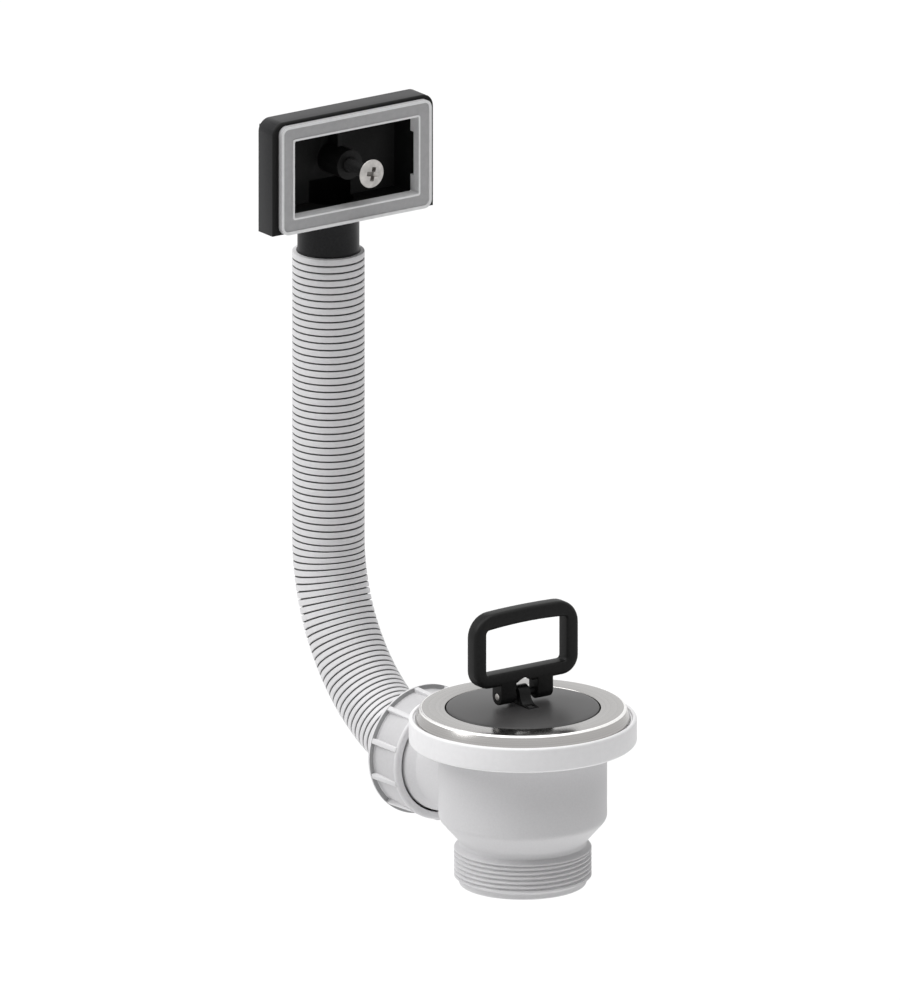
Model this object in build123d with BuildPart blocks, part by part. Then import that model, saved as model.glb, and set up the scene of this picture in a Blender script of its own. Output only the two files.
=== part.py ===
"""Kitchen sink waste with plug, branch, corrugated overflow hose and overflow head.

Millimetres. The origin lies on the waste's axis, on the sink's surface under the flange.
+Z is up out of the sink, +Y points to the overflow, and the YZ plane is a plane of symmetry.
"""
import os
from math import cos, radians, sin, sqrt, tan

from build123d import *

os.makedirs("parts", exist_ok=True)

# Fits
plain_gap = 0.15          # between pieces that are pushed together and stay
loose_gap = 0.4           # where a piece only passes through
hinge_gap = 0.05          # radial play of the hinge pin

# Waste flange: pressed sheet with a turned-down rim, a plug seat and a strainer
flange_height = 4.5
flange_sheet = 0.8
flange_edge_radius = 2.0
throat_chamfer = 0.7
throat_depth = 5.5        # from the flange's top down to the plug seat
seat_width = 4.6          # the seat falls at 45 degrees
strainer_hole_diameter = 5.5
strainer_hole_circle = 28.0
strainer_hole_count = 10

# Seals at the sink
flange_seal_throat_gap = 1.5
flange_seal_rim_gap = 0.3
body_seal_diameter = 79.3
body_seal_thickness = 3.2
body_seal_height = 7.9    # below the sink's surface
body_seal_lip_height = 1.0
body_seal_lip_gap = 0.55  # between the flange's rim and the lip
body_seal_lip_wall = 1.5
body_seal_wall = 2.2
body_seal_edge = 1.0

# Waste body
body_mouth_wall = 1.0     # outside the mouth that takes the flange's throat
body_wall = 2.4
collar_thickness = 3.8
shoulder_height = 35.0    # below the sink's surface, where the cone starts
shoulder_radius = 5.0
neck_diameter = 44.6
neck_top = 43.7
thread_top = 46.4
thread_diameter = 47.8
thread_length = 10.3
thread_chamfer = 0.8
outlet_end_diameter = 44.2
outlet_end = 58.95
outlet_bore = 38.8
spider_boss_diameter = 13.0
spider_boss_top = 15.0
spider_bottom = 33.0
spider_arm_width = 3.0
spider_arm_height = 9.0
spider_arm_count = 3

# Clamp screw and its insert
clamp_screw_diameter = 6.0
clamp_head_diameter = 12.0
clamp_head_height = 2.4
insert_diameter = 9.0
insert_length = 11.0

# Overflow branch and its nut
branch_drop = 1.5         # from the collar's underside down to the branch
branch_tube_diameter = 33.2
branch_bore = 29.0
branch_length = 57.0      # from the waste's axis
branch_flare_start = 41.0
branch_flare_end = 44.5
branch_mouth_chamfer = 1.4
branch_root_radius = 1.2
nut_core_diameter = 41.2  # across the pockets' floors, at the rim
nut_wall = 1.9
nut_thread_gap = 0.6      # radial, between the nut's bore and the branch
nut_rim_diameter = 45.2
nut_band_diameter = 44.2  # of the plain band that the pockets run out into
nut_band_width = 3.2
nut_band_rounding = 1.5
nut_start = 47.0
nut_length = 16.3
nut_rim_width = 2.3
nut_end_wall = 3.4
nut_rib_count = 11
nut_rib_width = 1.7
nut_rib_setback = 0.15    # of the ribs' tops below the band
nut_rib_phase = 98.0
nut_edge = 0.6

# Overflow hose
hose_diameter = 25.3
hose_groove = 1.15
hose_groove_width = 0.8
hose_pitch = 2.53
hose_reach = 117.7        # from the waste's axis to the hose's upright axis
hose_top = 141.5
hose_entry_radius = 34.0  # of the last, tighter part of the bend, into the nut
hose_entry_turn = 20.0    # degrees
hose_insertion = 11.0     # into the branch

# Overflow head
head_height = 175.4       # its opening's centre above the sink's surface
gasket_front = 100.4      # from the waste's axis
gasket_width = 63.9
gasket_height = 40.0
gasket_thickness = 2.0
gasket_opening_width = 52.6
gasket_opening_height = 27.9
gasket_lip_thickness = 0.9
gasket_lip_depth = 3.2
gasket_corner_radius = 3.2
gasket_edge = 0.6
gasket_notch_height = 15.6
gasket_notch_depth = 1.9
head_width = 68.0
head_rim_above = 20.8     # from the opening's centre up to the rim's top
head_rim_below = 19.9     # and down to its lower edge
head_rim_depth = 9.1
head_corner_radius = 4.5
head_wall = 1.5
head_front_wall = 2.2
head_cavity_depth = 14.5  # from the rim's front face to the cavity's back wall
head_edge = 0.8
spigot_diameter = 21.6
spigot_wall = 2.0
spigot_insertion = 22.0
spigot_bead = 0.4         # stands out above the hose's end
channel_below_boss = 2.0
boss_diameter = 10.6
boss_setback = 2.3        # boss end behind the rim's front face
boss_rib_width = 1.8
overflow_screw_diameter = 5.0
overflow_head_diameter = 10.2
overflow_head_height = 3.0
overflow_screw_standoff = 9.8
overflow_screw_length = 20.0
overflow_recess_width = 1.3
overflow_recess_length = 5.4
overflow_recess_depth = 1.6
boss_insert_diameter = 7.4
boss_insert_length = 8.0

# Plug and handle
plug_diameter = 53.4
plug_edge_height = 1.7
plug_dome = 1.8
plug_seal_setback = 0.5
plug_seal_depth = 1.8     # below the top of the seat
plug_hub_diameter = 36.0
hub_gap = 1.0             # between the plug's hub and the clamp screw's head
pin_diameter = 2.7
lug_width = 7.8
lug_foot = 5.8            # half the length of the lug's foot
lug_wall = 1.6            # beside and above the hollow in the lug's front
lug_hollow_depth = 0.6
knuckle_diameter = 6.0
knuckle_gap = 0.6         # between lug and knuckle, along the pin
knuckle_clearance = 0.6   # between the plug's dome and the handle's hinge end
knuckle_width = 6.5
handle_width = 44.0
handle_drop = 4.3         # from the handle's lower edge down to the pin's axis
handle_height = 27.1      # in the middle of its bowed top bar
handle_bow = 0.8          # that the top bar rises from its ends to its middle
handle_thickness = 6.0
handle_side_bar = 5.0
handle_top_bar = 5.3
handle_bottom_bar = 4.9
handle_corner_radius = 8.0
handle_lower_radius = 6.5
handle_opening_radius = 1.2
handle_edge = 1.2

# Levels and radii that several pieces share
seal_radius = body_seal_diameter / 2
lip_inner = seal_radius - body_seal_lip_wall
flange_radius = lip_inner - body_seal_lip_gap
flange_top = flange_height
throat_radius = plug_diameter / 2 + loose_gap
seat_top = flange_top - throat_depth
strainer_radius = throat_radius - seat_width
strainer_top = seat_top - seat_width
strainer_bottom = strainer_top - flange_sheet
sheet_corner = flange_sheet * tan(radians(22.5))
clamp_hole_radius = clamp_screw_diameter / 2 + loose_gap
throat_outside = throat_radius + flange_sheet
seal_inner = throat_outside + flange_seal_throat_gap
collar_top = -body_seal_thickness
collar_bottom = collar_top - collar_thickness
collar_radius = seal_radius - body_seal_wall - plain_gap
mouth_radius = throat_outside + loose_gap
body_radius = mouth_radius + body_mouth_wall
hose_radius = hose_diameter / 2
branch_height = branch_drop + branch_tube_diameter / 2 - collar_bottom
nut_core = nut_core_diameter / 2
nut_bore = nut_core - nut_wall
nut_end = nut_start + nut_length
nut_inside_end = nut_end - nut_end_wall
branch_end_radius = nut_bore - nut_thread_gap
branch_axis = Axis((0, 0, -branch_height), (0, 1, 0))
hose_lower_end = branch_length - hose_insertion
rim_front = gasket_front + gasket_thickness
rim_back = rim_front + head_rim_depth
cavity_back = rim_front + head_cavity_depth
housing_back = cavity_back + head_wall
cavity_width = gasket_opening_width + 2 * (gasket_lip_thickness + plain_gap)
cavity_height = gasket_opening_height + 2 * (gasket_lip_thickness + plain_gap)
pin_level = flange_top + plug_dome + max(knuckle_diameter, handle_thickness) / 2 + knuckle_clearance
pin_radius = pin_diameter / 2
knuckle_start = lug_width / 2 + knuckle_gap
knuckle_end = knuckle_start + knuckle_width
handle_low = pin_level + handle_drop


def upright(depth):
    """Plane facing the front at a distance behind the waste's axis, X to the right and Z up."""
    return Plane(origin=(0, depth, head_height), x_dir=(1, 0, 0), z_dir=(0, -1, 0))


with BuildPart() as waste_flange:
    with BuildSketch(Plane.XZ):
        with BuildLine():
            flat_end = (flange_radius - flange_edge_radius, flange_top)
            side_start = (flange_radius, flange_top - flange_edge_radius)
            rim_inner = flange_radius - flange_sheet
            under_end = (flange_radius - flange_edge_radius, flange_top - flange_sheet)
            TangentArc(flat_end, side_start, tangent=(1, 0))
            Polyline(
                side_start,
                (flange_radius, flange_seal_rim_gap),
                (rim_inner, flange_seal_rim_gap),
                (rim_inner, flange_top - flange_edge_radius),
            )
            TangentArc((rim_inner, flange_top - flange_edge_radius), under_end, tangent=(0, 1))
            Polyline(
                under_end,
                (throat_outside, flange_top - flange_sheet),
                (throat_outside, seat_top - sheet_corner),
                (strainer_radius + sheet_corner, strainer_bottom),
                (clamp_hole_radius, strainer_bottom),
                (clamp_hole_radius, strainer_top),
                (strainer_radius, strainer_top),
                (throat_radius, seat_top),
                (throat_radius, flange_top - throat_chamfer),
                (throat_radius + throat_chamfer, flange_top),
                flat_end,
            )
        make_face()
    revolve(axis=Axis.Z)
    with BuildSketch(Plane.XY.offset(strainer_top)):
        with PolarLocations(strainer_hole_circle / 2, strainer_hole_count):
            Circle(strainer_hole_diameter / 2)
    extrude(amount=-flange_sheet, mode=Mode.SUBTRACT)
waste_flange.part.label = "waste_flange"

with BuildPart() as flange_seal:
    with BuildSketch():
        Circle(flange_radius - flange_sheet - flange_seal_rim_gap)
        Circle(seal_inner, mode=Mode.SUBTRACT)
    extrude(amount=flange_top - flange_sheet)
    outer_top = flange_seal.edges().filter_by(GeomType.CIRCLE).group_by(Axis.Z)[-1].sort_by(SortBy.RADIUS)[-1]
    chamfer(outer_top, flange_edge_radius - flange_sheet)
flange_seal.part.label = "flange_seal"

with BuildPart() as body_seal:
    with BuildSketch(Plane.XZ):
        with BuildLine():
            Polyline(
                (seal_inner, 0),
                (lip_inner, 0),
                (lip_inner, body_seal_lip_height),
                (seal_radius - body_seal_edge, body_seal_lip_height),
                (seal_radius, body_seal_lip_height - body_seal_edge),
                (seal_radius, body_seal_edge - body_seal_height),
                (seal_radius - body_seal_edge, -body_seal_height),
                (collar_radius + plain_gap, -body_seal_height),
                (collar_radius + plain_gap, collar_top),
                (seal_inner, collar_top),
                close=True,
            )
        make_face()
    revolve(axis=Axis.Z)
body_seal.part.label = "body_seal"

with BuildPart() as waste_body:
    # Outside: collar, bowl, cone, neck, outlet
    with BuildSketch(Plane.XZ) as outside:
        with BuildLine():
            thread_radius = thread_diameter / 2
            Polyline(
                (0, collar_top),
                (collar_radius, collar_top),
                (collar_radius, collar_bottom),
                (body_radius, collar_bottom),
                (body_radius, -shoulder_height),
                (neck_diameter / 2, -neck_top),
                (neck_diameter / 2, -thread_top),
                (thread_radius - thread_chamfer, -thread_top),
                (thread_radius, -thread_top - thread_chamfer),
                (thread_radius, -thread_top - thread_length),
                (outlet_end_diameter / 2, -outlet_end),
                (0, -outlet_end),
                close=True,
            )
        make_face()
        shoulder = outside.vertices().sort_by_distance((body_radius, -shoulder_height))[0]
        fillet(shoulder, shoulder_radius)
    revolve(axis=Axis.Z)
    # Branch towards the overflow
    with BuildSketch(Plane.YZ):
        with BuildLine():
            tube = branch_tube_diameter / 2 - branch_height
            end = branch_end_radius - branch_height
            Polyline(
                (0, -branch_height),
                (0, tube),
                (branch_flare_start, tube),
                (branch_flare_end, end),
                (branch_length, end),
                (branch_length, -branch_height),
                close=True,
            )
        make_face()
    body_edges = waste_body.edges()
    revolve(axis=branch_axis)
    root_edges = waste_body.edges() - body_edges
    fillet(root_edges.filter_by(GeomType.BSPLINE), branch_root_radius)
    # Inside: mouth, bowl, cone and outlet bore
    with BuildSketch(Plane.XZ):
        with BuildLine():
            bowl_radius = body_radius - body_wall
            Polyline(
                (0, collar_top),
                (mouth_radius, collar_top),
                (mouth_radius, collar_bottom),
                (bowl_radius, collar_bottom - (mouth_radius - bowl_radius)),
                (bowl_radius, -shoulder_height),
                (outlet_bore / 2, -neck_top),
                (outlet_bore / 2, -outlet_end),
                (0, -outlet_end),
                close=True,
            )
        make_face()
    revolve(axis=Axis.Z, mode=Mode.SUBTRACT)
    with BuildSketch(Plane.YZ):
        with BuildLine():
            bore = branch_bore / 2 - branch_height
            Polyline(
                (0, -branch_height),
                (0, bore),
                (branch_length - branch_mouth_chamfer, bore),
                (branch_length, bore + branch_mouth_chamfer),
                (branch_length, -branch_height),
                close=True,
            )
        make_face()
    revolve(axis=branch_axis, mode=Mode.SUBTRACT)
    # Spider: a boss for the clamp screw's insert on three arms, clear of the branch
    with BuildSketch(Plane.XY.offset(-spider_bottom)):
        with PolarLocations(0, spider_arm_count, start_angle=-90):
            Rectangle(bowl_radius + body_wall / 2, spider_arm_width, align=(Align.MIN, Align.CENTER))
    extrude(amount=spider_arm_height)
    with BuildSketch(Plane.XY.offset(-spider_bottom)):
        Circle(spider_boss_diameter / 2)
    extrude(amount=spider_bottom - spider_boss_top)
    with BuildSketch(Plane.XY.offset(-spider_boss_top)):
        Circle(insert_diameter / 2 + plain_gap)
    extrude(amount=-insert_length, mode=Mode.SUBTRACT)
    with BuildSketch(Plane.XY.offset(-spider_boss_top)):
        Circle(clamp_hole_radius)
    extrude(amount=spider_boss_top - spider_bottom, mode=Mode.SUBTRACT)
waste_body.part.label = "waste_body"

with BuildPart() as insert_nut:
    with BuildSketch(Plane.XY.offset(-spider_boss_top)):
        Circle(insert_diameter / 2)
        Circle(clamp_screw_diameter / 2 + plain_gap, mode=Mode.SUBTRACT)
    extrude(amount=-insert_length)
insert_nut.part.label = "insert_nut"

with BuildPart() as clamp_screw:
    with BuildSketch(Plane.XY.offset(strainer_top)):
        Circle(clamp_head_diameter / 2)
    extrude(amount=clamp_head_height)
    chamfer(clamp_screw.edges().group_by(Axis.Z)[-1], clamp_head_height / 3)
    with BuildSketch(Plane.XY.offset(strainer_top)):
        Circle(clamp_screw_diameter / 2)
    extrude(amount=-spider_boss_top - insert_length - strainer_top)
    with BuildSketch(Plane.XY.offset(strainer_top + clamp_head_height)):
        Rectangle(clamp_head_diameter, clamp_head_height / 2)
    extrude(amount=-clamp_head_height / 2, mode=Mode.SUBTRACT)
clamp_screw.part.label = "clamp_screw"

with BuildPart() as branch_nut:
    nut_rim = nut_rim_diameter / 2
    nut_band = nut_band_diameter / 2
    nut_rim_start = nut_end - nut_rim_width
    # The pockets' floor falls from the band to the rim
    with BuildSketch(Plane.YZ):
        with BuildLine():
            face_end = (nut_start, nut_band - nut_band_rounding - branch_height)
            band_start = (nut_start + nut_band_rounding, nut_band - branch_height)
            TangentArc(face_end, band_start, tangent=(0, 1))
            Polyline(
                band_start,
                (nut_start + nut_band_width, nut_band - branch_height),
                (nut_rim_start, nut_core - branch_height),
                (nut_rim_start, nut_rim - branch_height),
                (nut_end - nut_edge, nut_rim - branch_height),
                (nut_end, nut_rim - nut_edge - branch_height),
                (nut_end, hose_radius + loose_gap - branch_height),
                (nut_inside_end, hose_radius + loose_gap - branch_height),
                (nut_inside_end, nut_bore - branch_height),
                (nut_start, nut_bore - branch_height),
                face_end,
            )
        make_face()
    revolve(axis=branch_axis)
    # Ribs between the pockets run from the rim into the band
    with BuildSketch(Plane(origin=(0, nut_rim_start, -branch_height), x_dir=(1, 0, 0), z_dir=(0, -1, 0))):
        with PolarLocations(nut_core - nut_edge, nut_rib_count, start_angle=nut_rib_phase):
            rib_height = nut_band - nut_rib_setback - nut_core + nut_edge
            Rectangle(rib_height, nut_rib_width, align=(Align.MIN, Align.CENTER))
    extrude(amount=nut_rim_start - nut_start - nut_band_width)
branch_nut.part.label = "branch_nut"

with BuildPart() as branch_seal:
    with BuildSketch(Plane.YZ):
        with BuildLine():
            seal_bore = hose_radius + plain_gap - branch_height
            seal_cone = branch_bore / 2 + branch_mouth_chamfer - plain_gap - branch_height
            Polyline(
                (branch_length - branch_mouth_chamfer, seal_bore),
                (branch_length - branch_mouth_chamfer, seal_cone - branch_mouth_chamfer),
                (branch_length, seal_cone),
                (branch_length, nut_bore - plain_gap - branch_height),
                (nut_inside_end, nut_bore - plain_gap - branch_height),
                (nut_inside_end, seal_bore),
                close=True,
            )
        make_face()
    revolve(axis=branch_axis)
branch_seal.part.label = "branch_seal"

with BuildPart() as overflow_hose:
    # Upright, round a wide bend, and level through a tighter one into the nut
    entry_turn = radians(hose_entry_turn)
    bend_radius = (hose_reach - nut_end - hose_entry_radius * sin(entry_turn)) / (1 - sin(entry_turn))
    entry_top = hose_entry_radius * (1 - cos(entry_turn)) - branch_height
    entry_start = (0, nut_end + hose_entry_radius * sin(entry_turn), entry_top)
    bend_top = (0, hose_reach, entry_top + bend_radius * cos(entry_turn))
    with BuildLine() as hose_line:
        Line((0, hose_reach, hose_top), bend_top)
        TangentArc(bend_top, entry_start, tangent=(0, 0, -1))
        TangentArc(entry_start, (0, nut_end, -branch_height), tangent=(0, -cos(entry_turn), -sin(entry_turn)))
        Line((0, nut_end, -branch_height), (0, hose_lower_end, -branch_height))
    hose_path = hose_line.wire()
    hose_length = hose_path.length
    ringed_length = hose_length - (nut_end - hose_lower_end)
    ring_count = round(ringed_length / hose_pitch)
    ring_step = ringed_length / ring_count
    # Narrow grooves between wide flat rings, as far as the nut
    stations = [(0, hose_radius)]
    for number in range(1, ring_count + 1):
        stations.append((number * ring_step - hose_groove_width / 2, hose_radius))
        stations.append((number * ring_step, hose_radius - hose_groove))
        stations.append((number * ring_step + hose_groove_width / 2, hose_radius))
    stations.append((hose_length, hose_radius))
    for distance, radius in stations:
        with BuildSketch(Plane(hose_path ^ (distance / hose_length))):
            Circle(radius)
    loft(ruled=True)
    with BuildSketch(Plane(hose_path ^ 0)):
        Circle(spigot_diameter / 2 + plain_gap)
    sweep(path=hose_path, mode=Mode.SUBTRACT)
overflow_hose.part.label = "overflow_hose"

with BuildPart() as overflow_head:
    # Rim: a skirt with rounded upper corners behind a front wall, open at the back
    rim_height = head_rim_above + head_rim_below
    rim_middle = (head_rim_above - head_rim_below) / 2
    with BuildSketch(upright(rim_front)) as rim_outline:
        with Locations((0, rim_middle)):
            Rectangle(head_width, rim_height)
        fillet(rim_outline.vertices().group_by(Axis.Y)[-1], head_corner_radius)
    extrude(amount=-head_rim_depth)
    fillet(overflow_head.faces().sort_by(Axis.Y)[0].edges(), head_edge)
    with BuildSketch(upright(rim_back)) as rim_hollow:
        with Locations((0, rim_middle)):
            Rectangle(head_width - 2 * head_wall, rim_height - 2 * head_wall)
        fillet(rim_hollow.vertices().group_by(Axis.Y)[-1], head_corner_radius - head_wall)
    extrude(amount=head_rim_depth - head_front_wall, mode=Mode.SUBTRACT)
    # Housing round the cavity, and the spigot with its channel on the hose's axis
    with BuildSketch(upright(rim_front + head_front_wall / 2)):
        Rectangle(cavity_width + 2 * head_wall, cavity_height + 2 * head_wall)
    extrude(amount=-(housing_back - rim_front - head_front_wall / 2))
    spigot_low = hose_top - spigot_insertion
    channel_top = head_height - boss_diameter / 2 - channel_below_boss
    with BuildSketch(Plane((0, hose_reach, spigot_low))):
        Circle(spigot_diameter / 2)
    extrude(amount=channel_top + spigot_wall - spigot_low)
    with BuildSketch(Plane((0, hose_reach, hose_top))):
        Circle(spigot_diameter / 2 + spigot_bead)
    extrude(amount=spigot_bead)
    with BuildSketch(upright(rim_front)):
        Rectangle(cavity_width, cavity_height)
    extrude(amount=-head_cavity_depth, mode=Mode.SUBTRACT)
    with BuildSketch(Plane((0, hose_reach, spigot_low))):
        Circle(spigot_diameter / 2 - spigot_wall)
    extrude(amount=channel_top - spigot_low, mode=Mode.SUBTRACT)
    # Boss for the overflow screw, with a rib up to the cavity's roof
    boss_length = head_cavity_depth - boss_setback
    with BuildSketch(upright(cavity_back)):
        Circle(boss_diameter / 2)
    extrude(amount=boss_length)
    with BuildSketch(upright(cavity_back)):
        Rectangle(boss_rib_width, cavity_height / 2, align=(Align.CENTER, Align.MIN))
    extrude(amount=boss_length / 2)
    # The insert is pressed in from behind
    with BuildSketch(upright(housing_back)):
        Circle(boss_insert_diameter / 2 + plain_gap)
    extrude(amount=boss_insert_length, mode=Mode.SUBTRACT)
    with BuildSketch(upright(housing_back)):
        Circle(overflow_screw_diameter / 2 + plain_gap)
    extrude(amount=head_wall + boss_length, mode=Mode.SUBTRACT)
overflow_head.part.label = "overflow_head"

with BuildPart() as boss_insert:
    with BuildSketch(upright(housing_back)):
        Circle(boss_insert_diameter / 2)
        Circle(overflow_screw_diameter / 2 + plain_gap, mode=Mode.SUBTRACT)
    extrude(amount=boss_insert_length)
boss_insert.part.label = "boss_insert"

with BuildPart() as overflow_gasket:
    with BuildSketch(upright(gasket_front)):
        RectangleRounded(gasket_width, gasket_height, gasket_corner_radius)
        Rectangle(gasket_opening_width, gasket_opening_height, mode=Mode.SUBTRACT)
    extrude(amount=-gasket_thickness)
    chamfer(overflow_gasket.faces().sort_by(Axis.Y)[0].outer_wire().edges(), gasket_edge)
    # Lip that lines the head's cavity, cut shorter half-way up each side
    with BuildSketch(upright(rim_front)):
        lip_width = gasket_opening_width + 2 * gasket_lip_thickness
        lip_height = gasket_opening_height + 2 * gasket_lip_thickness
        Rectangle(lip_width, lip_height)
        Rectangle(gasket_opening_width, gasket_opening_height, mode=Mode.SUBTRACT)
    extrude(amount=-gasket_lip_depth)
    with BuildSketch(upright(rim_front + gasket_lip_depth)):
        Rectangle(lip_width, gasket_notch_height)
    extrude(amount=gasket_notch_depth, mode=Mode.SUBTRACT)
overflow_gasket.part.label = "overflow_gasket"

with BuildPart() as overflow_screw:
    screw_front = gasket_front - overflow_screw_standoff
    screw_seat = screw_front + overflow_head_height
    with BuildSketch(Plane.YZ):
        with BuildLine():
            Polyline(
                (screw_front, head_height),
                (screw_front, head_height + overflow_head_diameter / 2),
                (screw_front + overflow_head_height / 3, head_height + overflow_head_diameter / 2),
                (screw_seat, head_height + overflow_screw_diameter / 2),
                (screw_seat + overflow_screw_length, head_height + overflow_screw_diameter / 2),
                (screw_seat + overflow_screw_length, head_height),
                close=True,
            )
        make_face()
    revolve(axis=Axis((0, 0, head_height), (0, 1, 0)))
    with BuildSketch(upright(screw_front)):
        Rectangle(overflow_recess_length, overflow_recess_width)
        Rectangle(overflow_recess_width, overflow_recess_length)
    extrude(amount=-overflow_recess_depth, mode=Mode.SUBTRACT)
overflow_screw.part.label = "overflow_screw"

with BuildPart() as plug_disc:
    plug_radius = plug_diameter / 2
    plug_under = flange_top - plug_edge_height
    hub_radius = plug_hub_diameter / 2
    hub_low = strainer_top + clamp_head_height + hub_gap
    knuckle_radius = knuckle_diameter / 2
    with BuildSketch(Plane.XZ):
        with BuildLine():
            TangentArc((0, flange_top + plug_dome), (plug_radius, flange_top), tangent=(1, 0))
            Polyline(
                (plug_radius, flange_top),
                (plug_radius, plug_under),
                (hub_radius, plug_under),
                (hub_radius, hub_low),
                (hub_radius - plug_edge_height, hub_low),
                (hub_radius - plug_edge_height, plug_under),
                (0, plug_under),
                (0, flange_top + plug_dome),
            )
        make_face()
    revolve(axis=Axis.Z)
    # Hinge lug: an eye round the pin on a foot with hollow flanks
    with BuildSketch(Plane.YZ):
        with BuildLine():
            foot_level = flange_top + plug_dome / 2
            TangentArc((-knuckle_radius, pin_level), (-lug_foot, foot_level), tangent=(0, -1))
            Line((-lug_foot, foot_level), (lug_foot, foot_level))
            TangentArc((knuckle_radius, pin_level), (lug_foot, foot_level), tangent=(0, -1))
            ThreePointArc(
                (knuckle_radius, pin_level), (0, pin_level + knuckle_radius), (-knuckle_radius, pin_level)
            )
        make_face()
    extrude(amount=lug_width / 2, both=True)
    with BuildSketch(Plane.YZ):
        with Locations((0, pin_level)):
            Circle(pin_radius + hinge_gap)
    extrude(amount=lug_width, both=True, mode=Mode.SUBTRACT)
    # Shallow hollow in the lug's front, above its foot
    hollow_low = flange_top + plug_dome
    with BuildSketch(Plane.XZ.offset(knuckle_radius - lug_hollow_depth)):
        with Locations((0, hollow_low)):
            Rectangle(
                lug_width - 2 * lug_wall,
                pin_level - pin_radius - hinge_gap - lug_wall - hollow_low + lug_hollow_depth,
                align=(Align.CENTER, Align.MIN),
            )
    extrude(amount=lug_foot, mode=Mode.SUBTRACT)
plug_disc.part.label = "plug_disc"

with BuildPart() as plug_seal:
    with BuildSketch(Plane.XZ):
        with BuildLine():
            seal_rim = plug_radius - plug_seal_setback
            seat_line = throat_radius - seat_top - plain_gap * sqrt(2)
            seal_low = seat_top - plug_seal_depth
            Polyline(
                (hub_radius + plain_gap, plug_under),
                (seal_rim, plug_under),
                (seal_rim, seal_rim - seat_line),
                (seal_low + seat_line, seal_low),
                (hub_radius + plain_gap, seal_low),
                close=True,
            )
        make_face()
    revolve(axis=Axis.Z)
plug_seal.part.label = "plug_seal"

with BuildPart() as plug_handle:
    handle_high = handle_low + handle_height
    handle_half = handle_width / 2
    opening_half = handle_half - handle_side_bar
    with BuildSketch(Plane.XZ) as loop_outline:
        with BuildLine():
            loop_left = (-handle_half, handle_high - handle_bow)
            loop_right = (handle_half, handle_high - handle_bow)
            Polyline(loop_left, (-handle_half, handle_low), (handle_half, handle_low), loop_right)
            ThreePointArc(loop_right, (0, handle_high), loop_left)
        make_face()
        fillet(loop_outline.vertices().group_by(Axis.Y)[0], handle_lower_radius)
        fillet(loop_outline.vertices().group_by(Axis.Y)[-1], handle_corner_radius)
    extrude(amount=handle_thickness / 2, both=True)
    with BuildSketch(Plane.XZ) as loop_opening:
        with BuildLine():
            opening_low = handle_low + handle_bottom_bar
            opening_high = handle_high - handle_top_bar
            opening_left = (-opening_half, opening_high - handle_bow)
            opening_right = (opening_half, opening_high - handle_bow)
            Polyline(opening_left, (-opening_half, opening_low), (opening_half, opening_low), opening_right)
            ThreePointArc(opening_right, (0, opening_high), opening_left)
        make_face()
        fillet(loop_opening.vertices(), handle_opening_radius)
    extrude(amount=handle_thickness / 2, both=True, mode=Mode.SUBTRACT)
    broad_faces = plug_handle.faces().filter_by(Axis.Y).sort_by(Axis.Y)
    fillet(broad_faces[0].outer_wire().edges() + broad_faces[-1].outer_wire().edges(), handle_edge)
    # Two knuckles hang from the lower bar, one on each side of the lug
    with BuildSketch(Plane.YZ.offset(knuckle_start)):
        with Locations((0, pin_level)):
            Circle(knuckle_radius)
            Rectangle(knuckle_diameter, handle_drop + handle_bottom_bar / 2, align=(Align.CENTER, Align.MIN))
    extrude(amount=knuckle_width)
    mirror(about=Plane.YZ)
    with BuildSketch(Plane.YZ):
        with Locations((0, pin_level)):
            Circle(pin_radius + hinge_gap)
    extrude(amount=knuckle_end, both=True, mode=Mode.SUBTRACT)
plug_handle.part.label = "plug_handle"

with BuildPart() as hinge_pin:
    with BuildSketch(Plane.YZ):
        with Locations((0, pin_level)):
            Circle(pin_radius)
    extrude(amount=knuckle_end, both=True)
hinge_pin.part.label = "hinge_pin"

pieces = [
    waste_flange, flange_seal, body_seal, waste_body, insert_nut, clamp_screw,
    branch_nut, branch_seal, overflow_hose, overflow_head, boss_insert, overflow_gasket,
    overflow_screw, plug_disc, plug_seal, plug_handle, hinge_pin,
]
for piece in pieces:
    export_step(piece.part, f"parts/{piece.part.label}.step")
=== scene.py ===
"""Looks of the sink waste with overflow: its pieces, finishes, light and camera.

Sizes are in millimetres and become metres through MM. The frame is the CAD frame: the waste's
axis is Z, the sink's surface is Z = 0, and the overflow stands towards +Y.
"""

from math import atan2, cos, hypot, pi, radians, sin, tan

import bpy
from mathutils import Matrix, Vector


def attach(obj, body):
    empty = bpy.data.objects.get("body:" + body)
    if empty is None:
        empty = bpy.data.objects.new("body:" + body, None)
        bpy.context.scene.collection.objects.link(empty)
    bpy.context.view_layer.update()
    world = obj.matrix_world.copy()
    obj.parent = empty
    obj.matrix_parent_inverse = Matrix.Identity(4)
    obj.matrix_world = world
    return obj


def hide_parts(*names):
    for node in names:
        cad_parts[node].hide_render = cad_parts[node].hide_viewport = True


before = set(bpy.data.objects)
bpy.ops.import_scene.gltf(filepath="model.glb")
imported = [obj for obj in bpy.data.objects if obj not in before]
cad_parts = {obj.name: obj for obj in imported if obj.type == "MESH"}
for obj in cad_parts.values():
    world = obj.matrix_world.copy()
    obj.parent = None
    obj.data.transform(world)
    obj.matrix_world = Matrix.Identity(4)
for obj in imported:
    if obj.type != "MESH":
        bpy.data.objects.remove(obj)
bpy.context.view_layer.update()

MM = 0.001

# Heights, distances and radii that several pieces share
FLANGE_TOP = 4.5
FLANGE_UNDER = 3.7
SEAL_BORE = 29.4
COLLAR_TOP = -3.2
SCREW_HOLE = 3.4
BRANCH_LEVEL = -25.1
NUT_START = 45.7
NUT_END = 60.9
HOSE_REACH = 117.7
HOSE_TOP = 141.5
HEAD_LEVEL = 175.4
GASKET_FRONT = 100.4
PIN_LEVEL = 9.9
PIN_HOLE = 1.4

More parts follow.
